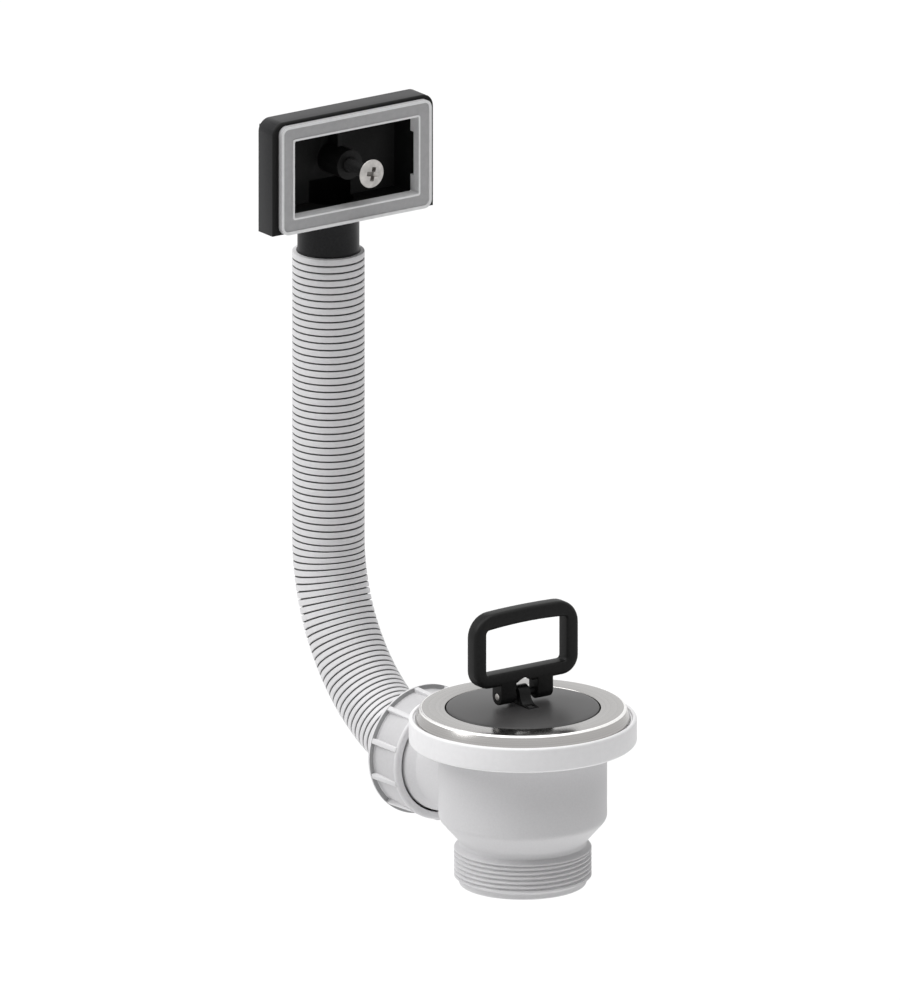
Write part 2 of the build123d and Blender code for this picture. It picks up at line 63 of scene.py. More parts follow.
# Points nearer to each other than this are merged
DOUBLES = 0.002


# Hand tools

def pick(piece):
    """Makes a piece the only selected object."""
    bpy.ops.object.select_all(action="DESELECT")
    piece.select_set(True)
    bpy.context.view_layer.objects.active = piece


def rounded(corners, segments=5):
    """A closed outline whose corners (across, along, radius) are rounded."""
    outline = []
    for number, (across, along, radius) in enumerate(corners):
        if not radius:
            outline.append((across, along))
            continue
        corner = Vector((across, along))
        back = (Vector(corners[number - 1][:2]) - corner).normalized()
        ahead = (Vector(corners[(number + 1) % len(corners)][:2]) - corner).normalized()
        half = back.angle(ahead) / 2
        centre = corner + (back + ahead).normalized() * radius / sin(half)
        start = corner + back * radius / tan(half) - centre
        end = corner + ahead * radius / tan(half) - centre
        first = atan2(start.y, start.x)
        sweep = (atan2(end.y, end.x) - first + pi) % (2 * pi) - pi
        for step in range(segments + 1):
            angle = first + sweep * step / segments
            outline.append((centre.x + radius * cos(angle), centre.y + radius * sin(angle)))
    return outline


def divided(outline, longest):
    """The same closed outline with its long edges cut into short ones."""
    finer = []
    for number, start in enumerate(outline):
        end = outline[(number + 1) % len(outline)]
        parts = max(1, round(hypot(end[0] - start[0], end[1] - start[1]) / longest))
        for part in range(parts):
            share = part / parts
            across = start[0] + (end[0] - start[0]) * share
            along = start[1] + (end[1] - start[1]) * share
            finer.append((across, along))
    return finer


def drawn(name, points):
    """A line of edges, drawn by extruding one vertex; edit mode stays on."""
    bpy.ops.object.select_all(action="DESELECT")
    bpy.ops.mesh.primitive_plane_add(size=MM)
    piece = bpy.context.object
    piece.name = name
    piece.data.name = name
    bpy.ops.object.mode_set(mode="EDIT")
    bpy.ops.mesh.select_mode(type="VERT")
    bpy.ops.mesh.select_all(action="SELECT")
    bpy.ops.mesh.merge(type="CENTER")
    here = Vector((0, 0, 0))
    for number, point in enumerate(points):
        move = Vector(point) * MM - here
        here += move
        if number:
            bpy.ops.mesh.extrude_region_move(TRANSFORM_OT_translate={"value": move})
        else:
            bpy.ops.transform.translate(value=move)
    return piece


def close_up():
    """Merges doubles, turns all faces outwards and leaves edit mode."""
    bpy.ops.mesh.select_all(action="SELECT")
    bpy.ops.mesh.remove_doubles(threshold=DOUBLES * MM)
    bpy.ops.mesh.normals_make_consistent(inside=False)
    bpy.ops.object.mode_set(mode="OBJECT")


def twisted(piece, angle, axis, level=0.0):
    """Turns a piece's mesh by some degrees, about an axis at a level."""
    about = Matrix.Translation((0, 0, level * MM))
    piece.data.transform(about @ Matrix.Rotation(radians(angle), 4, axis) @ about.inverted())


def turned(name, outline, steps, axis="Z", level=0.0, start=0.0):
    """Spins a closed outline of (radius, distance along the axis) into a turned piece.

    The start angle keeps the edges of a cutting piece off those of the piece it cuts.
    """
    if axis == "Z":
        points = [(radius, 0, along) for radius, along in outline]
        direction = (0, 0, 1)
    elif axis == "Y":
        points = [(radius, along, level) for radius, along in outline]
        direction = (0, 1, 0)
    else:
        points = [(along, 0, level + radius) for radius, along in outline]
        direction = (1, 0, 0)
    piece = drawn(name, points + points[:1])
    bpy.ops.mesh.select_all(action="SELECT")
    bpy.ops.mesh.spin(steps=steps, angle=2 * pi, center=(0, 0, level * MM), axis=direction)
    close_up()
    twisted(piece, start, Vector(direction), level)
    return piece


def prism(name, points, along):
    """Fills a closed line of points and extrudes it by a vector."""
    piece = drawn(name, points)
    bpy.ops.mesh.select_all(action="SELECT")
    bpy.ops.mesh.edge_face_add()
    bpy.ops.mesh.extrude_region_move(TRANSFORM_OT_translate={"value": Vector(along) * MM})
    close_up()
    return piece


def block(name, low, high):
    """A box between two corners."""
    bpy.ops.object.select_all(action="DESELECT")
    low, high = Vector(low) * MM, Vector(high) * MM
    bpy.ops.mesh.primitive_cube_add(size=1, location=(low + high) / 2, scale=high - low)
    bpy.ops.object.transform_apply(location=True, rotation=True, scale=True)
    bpy.context.object.name = name
    return bpy.context.object


def rim(name, outer, inner, along):
    """Bridges two lines of points into a flat rim and gives it thickness."""
    piece = drawn(name, outer + outer[:1])
    close_up()
    hole = drawn(name + "_hole", inner + inner[:1])
    close_up()
    pick(piece)
    hole.select_set(True)
    bpy.ops.object.join()
    bpy.ops.object.mode_set(mode="EDIT")
    bpy.ops.mesh.select_all(action="SELECT")
    bpy.ops.mesh.bridge_edge_loops()
    bpy.ops.mesh.select_all(action="SELECT")
    bpy.ops.mesh.extrude_region_move(TRANSFORM_OT_translate={"value": Vector(along) * MM})
    close_up()
    return piece


def choose(piece, test):
    """Selects the edges of a piece whose two ends pass a test, and opens edit mode."""
    pick(piece)
    bpy.ops.object.mode_set(mode="EDIT")
    bpy.ops.mesh.select_mode(type="EDGE")
    bpy.ops.mesh.select_all(action="DESELECT")
    bpy.ops.object.mode_set(mode="OBJECT")
    mesh = piece.data
    for edge in mesh.edges:
        edge.select = test(*[mesh.vertices[index].co / MM for index in edge.vertices])
    bpy.ops.object.mode_set(mode="EDIT")


def finished_with(piece, kind, **settings):
    """Adds one modifier and applies it."""
    pick(piece)
    modifier = piece.modifiers.new(kind.lower(), kind)
    for key, value in settings.items():
        setattr(modifier, key, value)
    bpy.ops.object.modifier_apply(modifier=modifier.name)


def combined(piece, tool, operation, **settings):
    """Joins a piece with a tool or cuts it with one, which is then used up."""
    finished_with(piece, "BOOLEAN", operation=operation, object=tool, solver="EXACT", **settings)
    bpy.data.objects.remove(tool, do_unlink=True)


def softened(piece, width, segments=2, angle=40):
    """Rounds a piece's sharp edges."""
    finished_with(
        piece, "BEVEL", width=width * MM, segments=segments, limit_method="ANGLE",
        angle_limit=radians(angle), use_clamp_overlap=True, harden_normals=False,
    )


def ringed(piece, count, axis, level=0.0):
    """Copies a piece round an axis, in one mesh."""
    pick(piece)
    bpy.ops.object.mode_set(mode="EDIT")
    bpy.ops.mesh.select_all(action="SELECT")
    bpy.ops.mesh.spin(
        steps=count - 1, dupli=True, angle=2 * pi * (count - 1) / count, center=(0, 0, level * MM), axis=axis
    )
    close_up()


def smoothed(piece, angle=32):
    """Shades a piece smooth, with its real corners kept."""
    pick(piece)
    bpy.ops.object.shade_smooth_by_angle(angle=radians(angle))


def copied(node, name):
    """A merged copy of a CAD node's mesh with its flat faces made whole."""
    piece = bpy.data.objects.new(name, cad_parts[node].data.copy())
    bpy.context.scene.collection.objects.link(piece)
    piece.data.materials.clear()
    pick(piece)
    bpy.ops.object.mode_set(mode="EDIT")
    bpy.ops.mesh.select_all(action="SELECT")
    bpy.ops.mesh.remove_doubles(threshold=DOUBLES * MM)
    bpy.ops.mesh.dissolve_limited(angle_limit=radians(0.5))
    bpy.ops.object.mode_set(mode="OBJECT")
    return piece


# Finishes

GRAIN_DETAIL = 4.0
TONE_START, TONE_END = 0.3, 0.7
ROUGHNESS_SPREAD = 0.04
RELIEF_HEIGHT = 0.05


def surface(name, dark, light, roughness, grain, bump=0.0, metal=0.0, gloss=0.5, turned_lines=False):
    """A finish whose colour, gloss and fine relief vary with a grain.

    With turned_lines the grain runs in lines round the waste's axis.
    """
    made = bpy.data.materials.new(name)
    made.use_nodes = True
    nodes = made.node_tree.nodes
    links = made.node_tree.links
    shader = nodes["Principled BSDF"]
    shader.inputs["Metallic"].default_value = metal
    shader.inputs["Specular IOR Level"].default_value = gloss
    place = nodes.new("ShaderNodeTexCoord")
    spot = place.outputs["Object"]
    if turned_lines:
        parts = nodes.new("ShaderNodeSeparateXYZ")
        level = nodes.new("ShaderNodeCombineXYZ")
        radius = nodes.new("ShaderNodeVectorMath")
        radius.operation = "LENGTH"
        lines = nodes.new("ShaderNodeCombineXYZ")
        links.new(spot, parts.inputs["Vector"])
        links.new(parts.outputs["X"], level.inputs["X"])
        links.new(parts.outputs["Y"], level.inputs["Y"])
        links.new(level.outputs["Vector"], radius.inputs[0])
        links.new(radius.outputs["Value"], lines.inputs["X"])
        links.new(parts.outputs["Z"], lines.inputs["Y"])
        spot = lines.outputs["Vector"]
    noise = nodes.new("ShaderNodeTexNoise")
    noise.inputs["Scale"].default_value = grain
    noise.inputs["Detail"].default_value = GRAIN_DETAIL
    tone = nodes.new("ShaderNodeValToRGB")
    tone.color_ramp.elements[0].position = TONE_START
    tone.color_ramp.elements[1].position = TONE_END
    tone.color_ramp.elements[0].color = (*dark, 1)
    tone.color_ramp.elements[1].color = (*light, 1)
    polish = nodes.new("ShaderNodeMapRange")
    polish.inputs["To Min"].default_value = roughness - ROUGHNESS_SPREAD
    polish.inputs["To Max"].default_value = roughness + ROUGHNESS_SPREAD
    links.new(spot, noise.inputs["Vector"])
    links.new(noise.outputs["Fac"], tone.inputs["Fac"])
    links.new(tone.outputs["Color"], shader.inputs["Base Color"])
    links.new(noise.outputs["Fac"], polish.inputs["Value"])
    links.new(polish.outputs["Result"], shader.inputs["Roughness"])
    if bump:
        relief = nodes.new("ShaderNodeBump")
        relief.inputs["Strength"].default_value = bump
        relief.inputs["Distance"].default_value = RELIEF_HEIGHT * MM
        links.new(noise.outputs["Fac"], relief.inputs["Height"])
        links.new(relief.outputs["Normal"], shader.inputs["Normal"])
    return made


brushed_steel = surface(
    "brushed_steel", (0.375, 0.366, 0.358), (0.44, 0.43, 0.42),
    roughness=0.18, grain=2600, bump=0.03, metal=1.0, turned_lines=True,
)
# A far brighter steel, used as a painted highlight on the flange's rounded rim
steel_painted_highlight = surface(
    "steel_painted_highlight", (0.86, 0.85, 0.84), (0.92, 0.91, 0.90),
    roughness=0.34, grain=900, bump=0.02, metal=1.0,
)
bright_steel = surface(
    "bright_steel", (0.33, 0.32, 0.31), (0.54, 0.52, 0.50),
    roughness=0.30, grain=350, bump=0.15, metal=1.0,
)
# Near-black steel that stands in for shade: painted shade
steel_painted_shade = surface(
    "steel_painted_shade", (0.006, 0.006, 0.006), (0.012, 0.012, 0.012),
    roughness=0.5, grain=900, bump=0.2, gloss=0.12,
)
# Darker steel for painted shade in the screw's cross recess
steel_recess_shade = surface(
    "steel_recess_shade", (0.10, 0.095, 0.09), (0.20, 0.19, 0.18),
    roughness=0.45, grain=500, bump=0.15, metal=1.0,
)
turned_brass = surface(
    "turned_brass", (0.55, 0.40, 0.16), (0.72, 0.56, 0.28),
    roughness=0.32, grain=400, bump=0.1, metal=1.0,
)
grey_rubber = surface(
    "grey_rubber", (0.40, 0.398, 0.405), (0.44, 0.438, 0.445),
    roughness=0.40, grain=600, bump=0.06, gloss=0.3,
)
# Pale rubber: partly the beads' own tone, partly painted highlight and painted light
pale_rubber_painted_light = surface(
    "pale_rubber_painted_light", (0.80, 0.80, 0.805), (0.86, 0.86, 0.865),
    roughness=0.24, grain=600, bump=0.04,
)
black_rubber = surface(
    "black_rubber", (0.018, 0.018, 0.019), (0.03, 0.03, 0.031),
    roughness=0.6, grain=500, bump=0.2,
)
white_ring = surface(
    "white_ring", (0.83, 0.825, 0.835), (0.86, 0.855, 0.865),
    roughness=0.38, grain=500, bump=0.03, gloss=0.35,
)
grey_moulding = surface(
    "grey_moulding", (0.64, 0.635, 0.645), (0.67, 0.665, 0.675),
    roughness=0.46, grain=1400, bump=0.05, gloss=0.3,
)
white_moulding = surface(
    "white_moulding", (0.69, 0.685, 0.695), (0.72, 0.715, 0.725),
    roughness=0.34, grain=900, bump=0.05, gloss=0.35,
)
# Painted shade for the floors between the nut's ribs
pocket_floor_painted_shade = surface(
    "pocket_floor_painted_shade", (0.56, 0.555, 0.565), (0.59, 0.585, 0.595),
    roughness=0.42, grain=900, bump=0.05, gloss=0.3,
)
# Darker painted shade for the front of the nut's rim between its ribs
pocket_shade = surface(
    "pocket_shade", (0.33, 0.33, 0.335), (0.37, 0.37, 0.375),
    roughness=0.5, grain=900, bump=0.05, gloss=0.2,
)
hose_moulding = surface(
    "hose_moulding", (0.71, 0.705, 0.715), (0.75, 0.745, 0.755),
    roughness=0.40, grain=700, bump=0.04, gloss=0.35,
)
# Painted shade for the hose's grooves and the nut's bore
groove_shade = surface(
    "groove_shade", (0.15, 0.15, 0.15), (0.21, 0.21, 0.21),
    roughness=0.6, grain=900, bump=0.04, gloss=0.1,
)
black_moulding = surface(
    "black_moulding", (0.008, 0.008, 0.009), (0.014, 0.014, 0.015),
    roughness=0.38, grain=1400, bump=0.10, gloss=0.15,
)
# Blacker than the head itself: painted shade in its cavity
black_painted_shade = surface(
    "black_painted_shade", (0.004, 0.004, 0.004), (0.007, 0.007, 0.007),
    roughness=0.5, grain=1400, bump=0.10, gloss=0.15,
)
handle_moulding = surface(
    "handle_moulding", (0.006, 0.006, 0.006), (0.010, 0.010, 0.010),
    roughness=0.40, grain=1200, bump=0.08, gloss=0.13,
)
plug_moulding = surface(
    "plug_moulding", (0.034, 0.033, 0.033), (0.044, 0.043, 0.043),
    roughness=0.40, grain=1200, bump=0.03, gloss=0.4,
)


def fitted(piece, node, body, slot, *finishes):
    """Puts a piece on its body in place of the plain CAD node."""
    for finish in finishes:
        piece.data.materials.append(finish)
    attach(piece, body)
    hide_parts(node)


def marked(piece, test, finish=1):
    """Gives the faces that pass a test one of the piece's further finishes."""
    for face in piece.data.polygons:
        if test(face.center / MM):
            face.material_index = finish


def coated(node, finish):
    """Gives a CAD node that stays as it is its finish."""
    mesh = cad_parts[node].data
    mesh.materials.clear()
    mesh.materials.append(finish)


# Flange: pressed sheet with a turned-down rim, a plug seat and a drilled strainer

STRAINER_TOP, STRAINER_UNDER = -5.6, -6.4
THROAT_INSIDE, THROAT_OUTSIDE = 27.1, 27.9
RIM_FOOT = 0.3
DRILL_TOP, DRILL_FOOT = -4.0, -8.0
DRILL_RADIUS, DRILL_CIRCLE, DRILL_COUNT = 2.75, 14, 10
HIGHLIGHT_INSIDE, HIGHLIGHT_FOOT = 35.0, 3.75

flange = turned("flange", rounded([
    (SCREW_HOLE, STRAINER_UNDER, 0.15), (SCREW_HOLE, STRAINER_TOP, 0.3), (22.5, STRAINER_TOP, 1.2),
    (THROAT_INSIDE, -1.0, 1.2), (THROAT_INSIDE, FLANGE_TOP, 0.35), (35.8, FLANGE_TOP, 1.0),
    (37.6, RIM_FOOT, 0.25), (36.8, RIM_FOOT, 0.25), (35.3, FLANGE_UNDER, 0.2),
    (THROAT_OUTSIDE, FLANGE_UNDER, 0.3), (THROAT_OUTSIDE, -1.33, 1.6), (22.83, STRAINER_UNDER, 1.6),
], segments=7), steps=256)
drill_line = [(0, DRILL_FOOT), (DRILL_RADIUS, DRILL_FOOT), (DRILL_RADIUS, DRILL_TOP), (0, DRILL_TOP)]
drills = turned("drills", drill_line, steps=40, start=4.5)
pick(drills)
bpy.ops.object.mode_set(mode="EDIT")
bpy.ops.mesh.select_all(action="SELECT")
bpy.ops.transform.translate(value=(DRILL_CIRCLE * MM, 0, 0))
bpy.ops.object.mode_set(mode="OBJECT")
ringed(drills, DRILL_COUNT, (0, 0, 1))
combined(flange, drills, "DIFFERENCE")
smoothed(flange)
# The rim's rounded edge gets the brighter steel: a painted highlight
marked(flange, lambda centre: hypot(centre.x, centre.y) > HIGHLIGHT_INSIDE and centre.z > HIGHLIGHT_FOOT)
fitted(flange, "waste_flange", "waste", "steel", brushed_steel, steel_painted_highlight)

# Seal under the flange, which narrows with the rim above it

flange_ring = turned("flange_ring", rounded([
    (SEAL_BORE, 0, 0.3), (36.4, 0, 0.2), (34.9, FLANGE_UNDER, 0.3), (SEAL_BORE, FLANGE_UNDER, 0.3),
], segments=3), steps=192)
smoothed(flange_ring)
fitted(flange_ring, "flange_seal", "waste", "grey_rubber", grey_rubber)

# White ring under the sink's sheet

RING_OUTSIDE, RING_STEP, RING_SKIRT = 39.65, 38.15, 37.45
RING_TOP, RING_UNDER = 1.0, -7.9

ring = turned("white_seal", rounded([
    (SEAL_BORE, 0, 0.3), (RING_STEP, 0, 0.2), (RING_STEP, RING_TOP, 0.45), (RING_OUTSIDE, RING_TOP, 0.9),
    (RING_OUTSIDE, RING_UNDER, 1.1), (RING_SKIRT, RING_UNDER, 0.3), (RING_SKIRT, COLLAR_TOP, 0.2),
    (SEAL_BORE, COLLAR_TOP, 0.3),
], segments=7), steps=256)
smoothed(ring)
fitted(ring, "body_seal", "waste", "white_seal", white_ring)

# Waste body: bowl, cone and threaded outlet, with the branch run into its side

COLLAR_RADIUS, COLLAR_UNDER = 37.3, -7.0
BOWL_RADIUS, BOWL_FOOT = 29.3, -35.0
NECK_RADIUS, NECK_TOP, NECK_FOOT = 22.3, -43.0, -44.4
OUTLET_RADIUS, OUTLET_TOP, OUTLET_END, END_RADIUS = 23.9, -45.8, -58.95, 22.2
THREAD_TOP, THREAD_END, THREAD_PITCH, THREAD_DEPTH = -46.1, -55.9, 1.67, 0.9
THREAD_ROWS, THREAD_FLOOR = 60, 23.0
RUN_IN, RUN_OUT = 0.6, 0.4
GROOVE_WIDTH, GROOVE_FLAT = 0.3, 1.3
BRANCH_ROOT, BRANCH_END = 8, 57.0
BRANCH_RADIUS, BRANCH_NECK, BRANCH_COLLAR = 16.6, 18.5, 19.0
COLLAR_START = 50.0
LONGEST_EDGE = 0.8

thread_run = THREAD_END - THREAD_TOP
bowl = turned("grey_body", divided(rounded([
    (0, COLLAR_TOP, 0), (COLLAR_RADIUS, COLLAR_TOP, 0.4), (COLLAR_RADIUS, COLLAR_UNDER, 0.5),
    (BOWL_RADIUS, COLLAR_UNDER, 0.6), (BOWL_RADIUS, BOWL_FOOT, 3.2), (NECK_RADIUS, NECK_TOP, 3.0),
    (NECK_RADIUS, NECK_FOOT, 0.3), (OUTLET_RADIUS, OUTLET_TOP, 0.5),
    *[(OUTLET_RADIUS, THREAD_TOP + thread_run * row / THREAD_ROWS, 0) for row in range(THREAD_ROWS + 1)],
    (END_RADIUS, -56.9, 0.2), (END_RADIUS, OUTLET_END, 0.7), (0, OUTLET_END, 0),
]), LONGEST_EDGE), steps=224)
branch = turned("branch", divided(rounded([
    (0, BRANCH_ROOT, 0), (BRANCH_RADIUS, BRANCH_ROOT, 0), (BRANCH_RADIUS, 41.0, 2.0),
    (BRANCH_NECK, 44.5, 2.0), (BRANCH_NECK, COLLAR_START, 0.2), (BRANCH_COLLAR, COLLAR_START, 0.2),
    (BRANCH_COLLAR, BRANCH_END, 0.5), (0, BRANCH_END, 0),
]), LONGEST_EDGE), steps=160, axis="Y", level=BRANCH_LEVEL)
combined(bowl, branch, "UNION")


def bowl_radius(height):
    """Outside radius of the bowl and its cone at a height."""
    if height > BOWL_FOOT:
        return BOWL_RADIUS
    slope = (BOWL_RADIUS - NECK_RADIUS) / (BOWL_FOOT - NECK_TOP)
    return max(NECK_RADIUS, BOWL_RADIUS + (height - BOWL_FOOT) * slope)


# The corner between bowl and branch: its points are merged and smoothed into a soft blend
BLEND_TOP, BLEND_REACH = -8.2, 1.9
BLEND_DOUBLES, BLEND_STRENGTH, BLEND_PASSES = 0.12, 0.5, 14

pick(bowl)
bpy.ops.object.mode_set(mode="EDIT")
bpy.ops.mesh.select_mode(type="VERT")
bpy.ops.mesh.select_all(action="SELECT")
bpy.ops.mesh.remove_doubles(threshold=BLEND_DOUBLES * MM)
bpy.ops.mesh.select_all(action="DESELECT")
bpy.ops.object.mode_set(mode="OBJECT")
for vertex in bowl.data.vertices:
    x, y, z = vertex.co / MM
    off_tube = abs(hypot(x, z - BRANCH_LEVEL) - BRANCH_RADIUS)
    off_bowl = abs(hypot(x, y) - bowl_radius(z))
    vertex.select = y > 0 and z < BLEND_TOP and off_tube < BLEND_REACH and off_bowl < BLEND_REACH
bpy.ops.object.mode_set(mode="EDIT")
bpy.ops.mesh.vertices_smooth(factor=BLEND_STRENGTH, repeat=BLEND_PASSES)
bpy.ops.object.mode_set(mode="OBJECT")

# The body's inside: the bowl's room, the branch's bore, and a spider whose boss takes the clamp screw
ROOM_TOP, ROOM_END = -2.5, -60.0
MOUTH_RADIUS, ROOM_RADIUS, OUTLET_BORE = 28.3, 26.9, 19.4
BORE_START, BORE_MOUTH, BORE_RADIUS = 5, 57.5, 14.5
ARM_HALF, ARM_COUNT = 1.5, 3
BOSS_RADIUS, BOSS_TOP, BOSS_FOOT = 6.5, -15.0, -33.0
POCKET_RADIUS, POCKET_FOOT = 4.65, -26.0

room = turned("bowl_room", rounded([
    (0, ROOM_TOP, 0), (MOUTH_RADIUS, ROOM_TOP, 0), (MOUTH_RADIUS, COLLAR_UNDER, 0.5),
    (ROOM_RADIUS, -8.4, 0.5), (ROOM_RADIUS, BOWL_FOOT, 4.0), (OUTLET_BORE, -43.7, 2.0),
    (OUTLET_BORE, ROOM_END, 0), (0, ROOM_END, 0),
]), steps=160, start=0.7)
combined(bowl, room, "DIFFERENCE")
bore = turned("branch_room", [
    (0, BORE_START), (BORE_RADIUS, BORE_START), (BORE_RADIUS, 55.6), (16.4, BORE_MOUTH), (0, BORE_MOUTH),
], steps=120, axis="Y", level=BRANCH_LEVEL, start=0.4)
combined(bowl, bore, "DIFFERENCE")
arms = block("spider_arms", (-ARM_HALF, -28.0, -32.5), (ARM_HALF, -5.2, -24.0))
softened(arms, 0.4)
ringed(arms, ARM_COUNT, (0, 0, 1))
combined(bowl, arms, "UNION")
boss = turned("spider_boss", rounded([
    (SCREW_HOLE, BOSS_FOOT, 0.3), (BOSS_RADIUS, BOSS_FOOT, 0.4), (BOSS_RADIUS, BOSS_TOP, 0.4),
    (POCKET_RADIUS, BOSS_TOP, 0.2), (POCKET_RADIUS, POCKET_FOOT, 0), (SCREW_HOLE, POCKET_FOOT, 0),
], segments=3), steps=64)
combined(bowl, boss, "UNION")

# The outlet's thread: a groove that winds down the plain outlet and runs out at both ends
for vertex in bowl.data.vertices:
    x, y, z = vertex.co / MM
    radius = hypot(x, y)
    if radius > THREAD_FLOOR and THREAD_END < z < THREAD_TOP:
        winding = (z / THREAD_PITCH - atan2(y, x) / (2 * pi)) % 1
        groove = min(1.0, max(0.0, GROOVE_FLAT - abs(winding - 0.5) / GROOVE_WIDTH))
        run_out = min(1.0, (THREAD_TOP - z) / RUN_IN, (z - THREAD_END) / RUN_OUT)
        share = 1 - THREAD_DEPTH * groove * run_out / radius
        vertex.co.x *= share
        vertex.co.y *= share
smoothed(bowl, angle=38)
fitted(bowl, "waste_body", "waste", "grey_plastic", grey_moulding)

# Ribbed nut on the branch

NUT_BORE, NUT_MOUTH = 19.25, 13.05
FLOOR_FRONT, FLOOR_BACK = 22.1, 21.2
RIM_START, RIM_RADIUS = 59.9, 23.05
RIB_START, RIB_END, RIB_HALF = 46.4, 60.3, 0.95
RIB_ROOT, RIB_TOP, RIB_DROP = 20.7, 22.9, 0.5
RIB_COUNT, RIB_TURN = 11, -8
SHADE_START, RIM_SHADE_START, RIM_SHADE_END = 48.0, 59.7, 60.0
RIM_SHADE_INSIDE, RIM_SHADE_OUTSIDE = 21.4, 23.0
BORE_SHADE_START, BORE_SHADE_END, BORE_SHADE_RADIUS = 46.1, 59.95, 19.4
FLOOR_SKIN = 0.08

nut = turned("ribbed_nut", rounded([
    (NUT_BORE, NUT_START, 0.3), (FLOOR_FRONT, NUT_START, 1.0), (FLOOR_BACK, RIM_START, 0.4),
    (RIM_RADIUS, RIM_START, 0.15), (RIM_RADIUS, NUT_END, 0.35), (NUT_MOUTH, NUT_END, 0.3),
    (NUT_MOUTH, RIM_START, 0.2), (NUT_BORE, RIM_START, 0.3),
], segments=6), steps=220, axis="Y", level=BRANCH_LEVEL)
rib_low = (-RIB_HALF, RIB_START, BRANCH_LEVEL + RIB_ROOT)
rib_high = (RIB_HALF, RIB_END, BRANCH_LEVEL + RIB_TOP)
ribs = block("nut_ribs", rib_low, rib_high)
rib_middle = (Vector(rib_low) + Vector(rib_high)) / 2 * MM
for vertex in ribs.data.vertices:
    if vertex.co.y < rib_middle.y and vertex.co.z > rib_middle.z:
        vertex.co.z -= RIB_DROP * MM
softened(ribs, 0.35, segments=3)
twisted(ribs, RIB_TURN, "Y", BRANCH_LEVEL)
ringed(ribs, RIB_COUNT, (0, 1, 0), BRANCH_LEVEL)
combined(nut, ribs, "UNION")
smoothed(nut, angle=35)


def off_branch(centre):
    """Distance of a point from the branch's axis."""
    return hypot(centre.x, centre.z - BRANCH_LEVEL)


def on_floor(centre):
    """Whether a point lies on the floor between the nut's ribs, which gets painted shade."""
    share = (centre.y - NUT_START) / (RIM_START - NUT_START)
    level = FLOOR_FRONT + (FLOOR_BACK - FLOOR_FRONT) * share
    return SHADE_START < centre.y < RIM_SHADE_START and off_branch(centre) < level + FLOOR_SKIN


def on_rim_front(centre):
    """Whether a point lies on the front of the nut's rear rim, between the ribs, which gets painted shade.
    """
    between_ribs = RIM_SHADE_INSIDE < off_branch(centre) < RIM_SHADE_OUTSIDE
    return between_ribs and RIM_SHADE_START < centre.y < RIM_SHADE_END


def in_bore(centre):
    """Whether a point lies on the nut's bore, which gets painted shade so that it is seen only as a dark
    gap.
    """
    return off_branch(centre) < BORE_SHADE_RADIUS and BORE_SHADE_START < centre.y < BORE_SHADE_END


# The floors between the ribs, the rim's front between them and the bore get painted shade, each darker than
# the last
marked(nut, on_floor)
marked(nut, on_rim_front, finish=2)
marked(nut, in_bore, finish=3)
fitted(
    nut, "branch_nut", "waste", "white_plastic", white_moulding, pocket_floor_painted_shade, pocket_shade, groove_shade
)

# Corrugated hose: turned straight, then bent along its run

HOSE_RADIUS, HOSE_BORE, RING_COUNT = 12.65, 10.95, 78
HOSE_LEAD, HOSE_TAIL = 2.4, 17.3
END_ROUND, END_SHOULDER = 0.35, 0.1
TAIL_STEP = 0.2
TOP_FACE, BORE_SKIN, GROOVE_EDGE = -0.5, 0.1, 0.4
BORE_ROWS = 72
BEND_END = NUT_END + HOSE_LEAD
ENTRY_BEND, ENTRY_TURN = 34.0, radians(20)
WIDE_BEND = (HOSE_REACH - BEND_END - ENTRY_BEND * sin(ENTRY_TURN)) / (1 - sin(ENTRY_TURN))
ENTRY_TOP = BRANCH_LEVEL + ENTRY_BEND * (1 - cos(ENTRY_TURN))
STRAIGHT = HOSE_TOP - ENTRY_TOP - WIDE_BEND * cos(ENTRY_TURN)
WIDE_RUN = WIDE_BEND * (pi / 2 - ENTRY_TURN)
BENT_RUN = STRAIGHT + WIDE_RUN + ENTRY_BEND * ENTRY_TURN
RINGED_RUN = BENT_RUN + HOSE_LEAD
HOSE_LENGTH = BENT_RUN + HOSE_TAIL
RING_LENGTH = RINGED_RUN / RING_COUNT
CREST = 0.50
# One ring, from groove to groove: the share of its length, and how far it lies under the hose's radius
RING_SHAPE = [
    (0.00, 1.15), (0.05, 1.05), (0.105, 0.20), (0.18, 0.0),
    (CREST, 0.0), (0.82, 0.0), (0.895, 0.20), (0.95, 1.05),
]


def hose_axis(along):
    """Distance, height and turn of the hose's axis, at a length measured from its top."""
    if along < STRAIGHT:
        return HOSE_REACH, HOSE_TOP - along, 0.0
    turn = (along - STRAIGHT) / WIDE_BEND
    if along < STRAIGHT + WIDE_RUN:
        centre = HOSE_REACH - WIDE_BEND
        return centre + WIDE_BEND * cos(turn), HOSE_TOP - STRAIGHT - WIDE_BEND * sin(turn), turn
    turn = pi / 2 - ENTRY_TURN + (along - STRAIGHT - WIDE_RUN) / ENTRY_BEND
    if along < BENT_RUN:
        return BEND_END + ENTRY_BEND * cos(turn), BRANCH_LEVEL + ENTRY_BEND * (1 - sin(turn)), turn
    return BEND_END - along + BENT_RUN, BRANCH_LEVEL, pi / 2


def in_groove(centre):
    """Whether a point of the straight hose lies in a groove between two rings, below its top face."""
    radius = hypot(centre.x, centre.y)
    return centre.z < TOP_FACE and HOSE_BORE + BORE_SKIN < radius < HOSE_RADIUS - GROOVE_EDGE


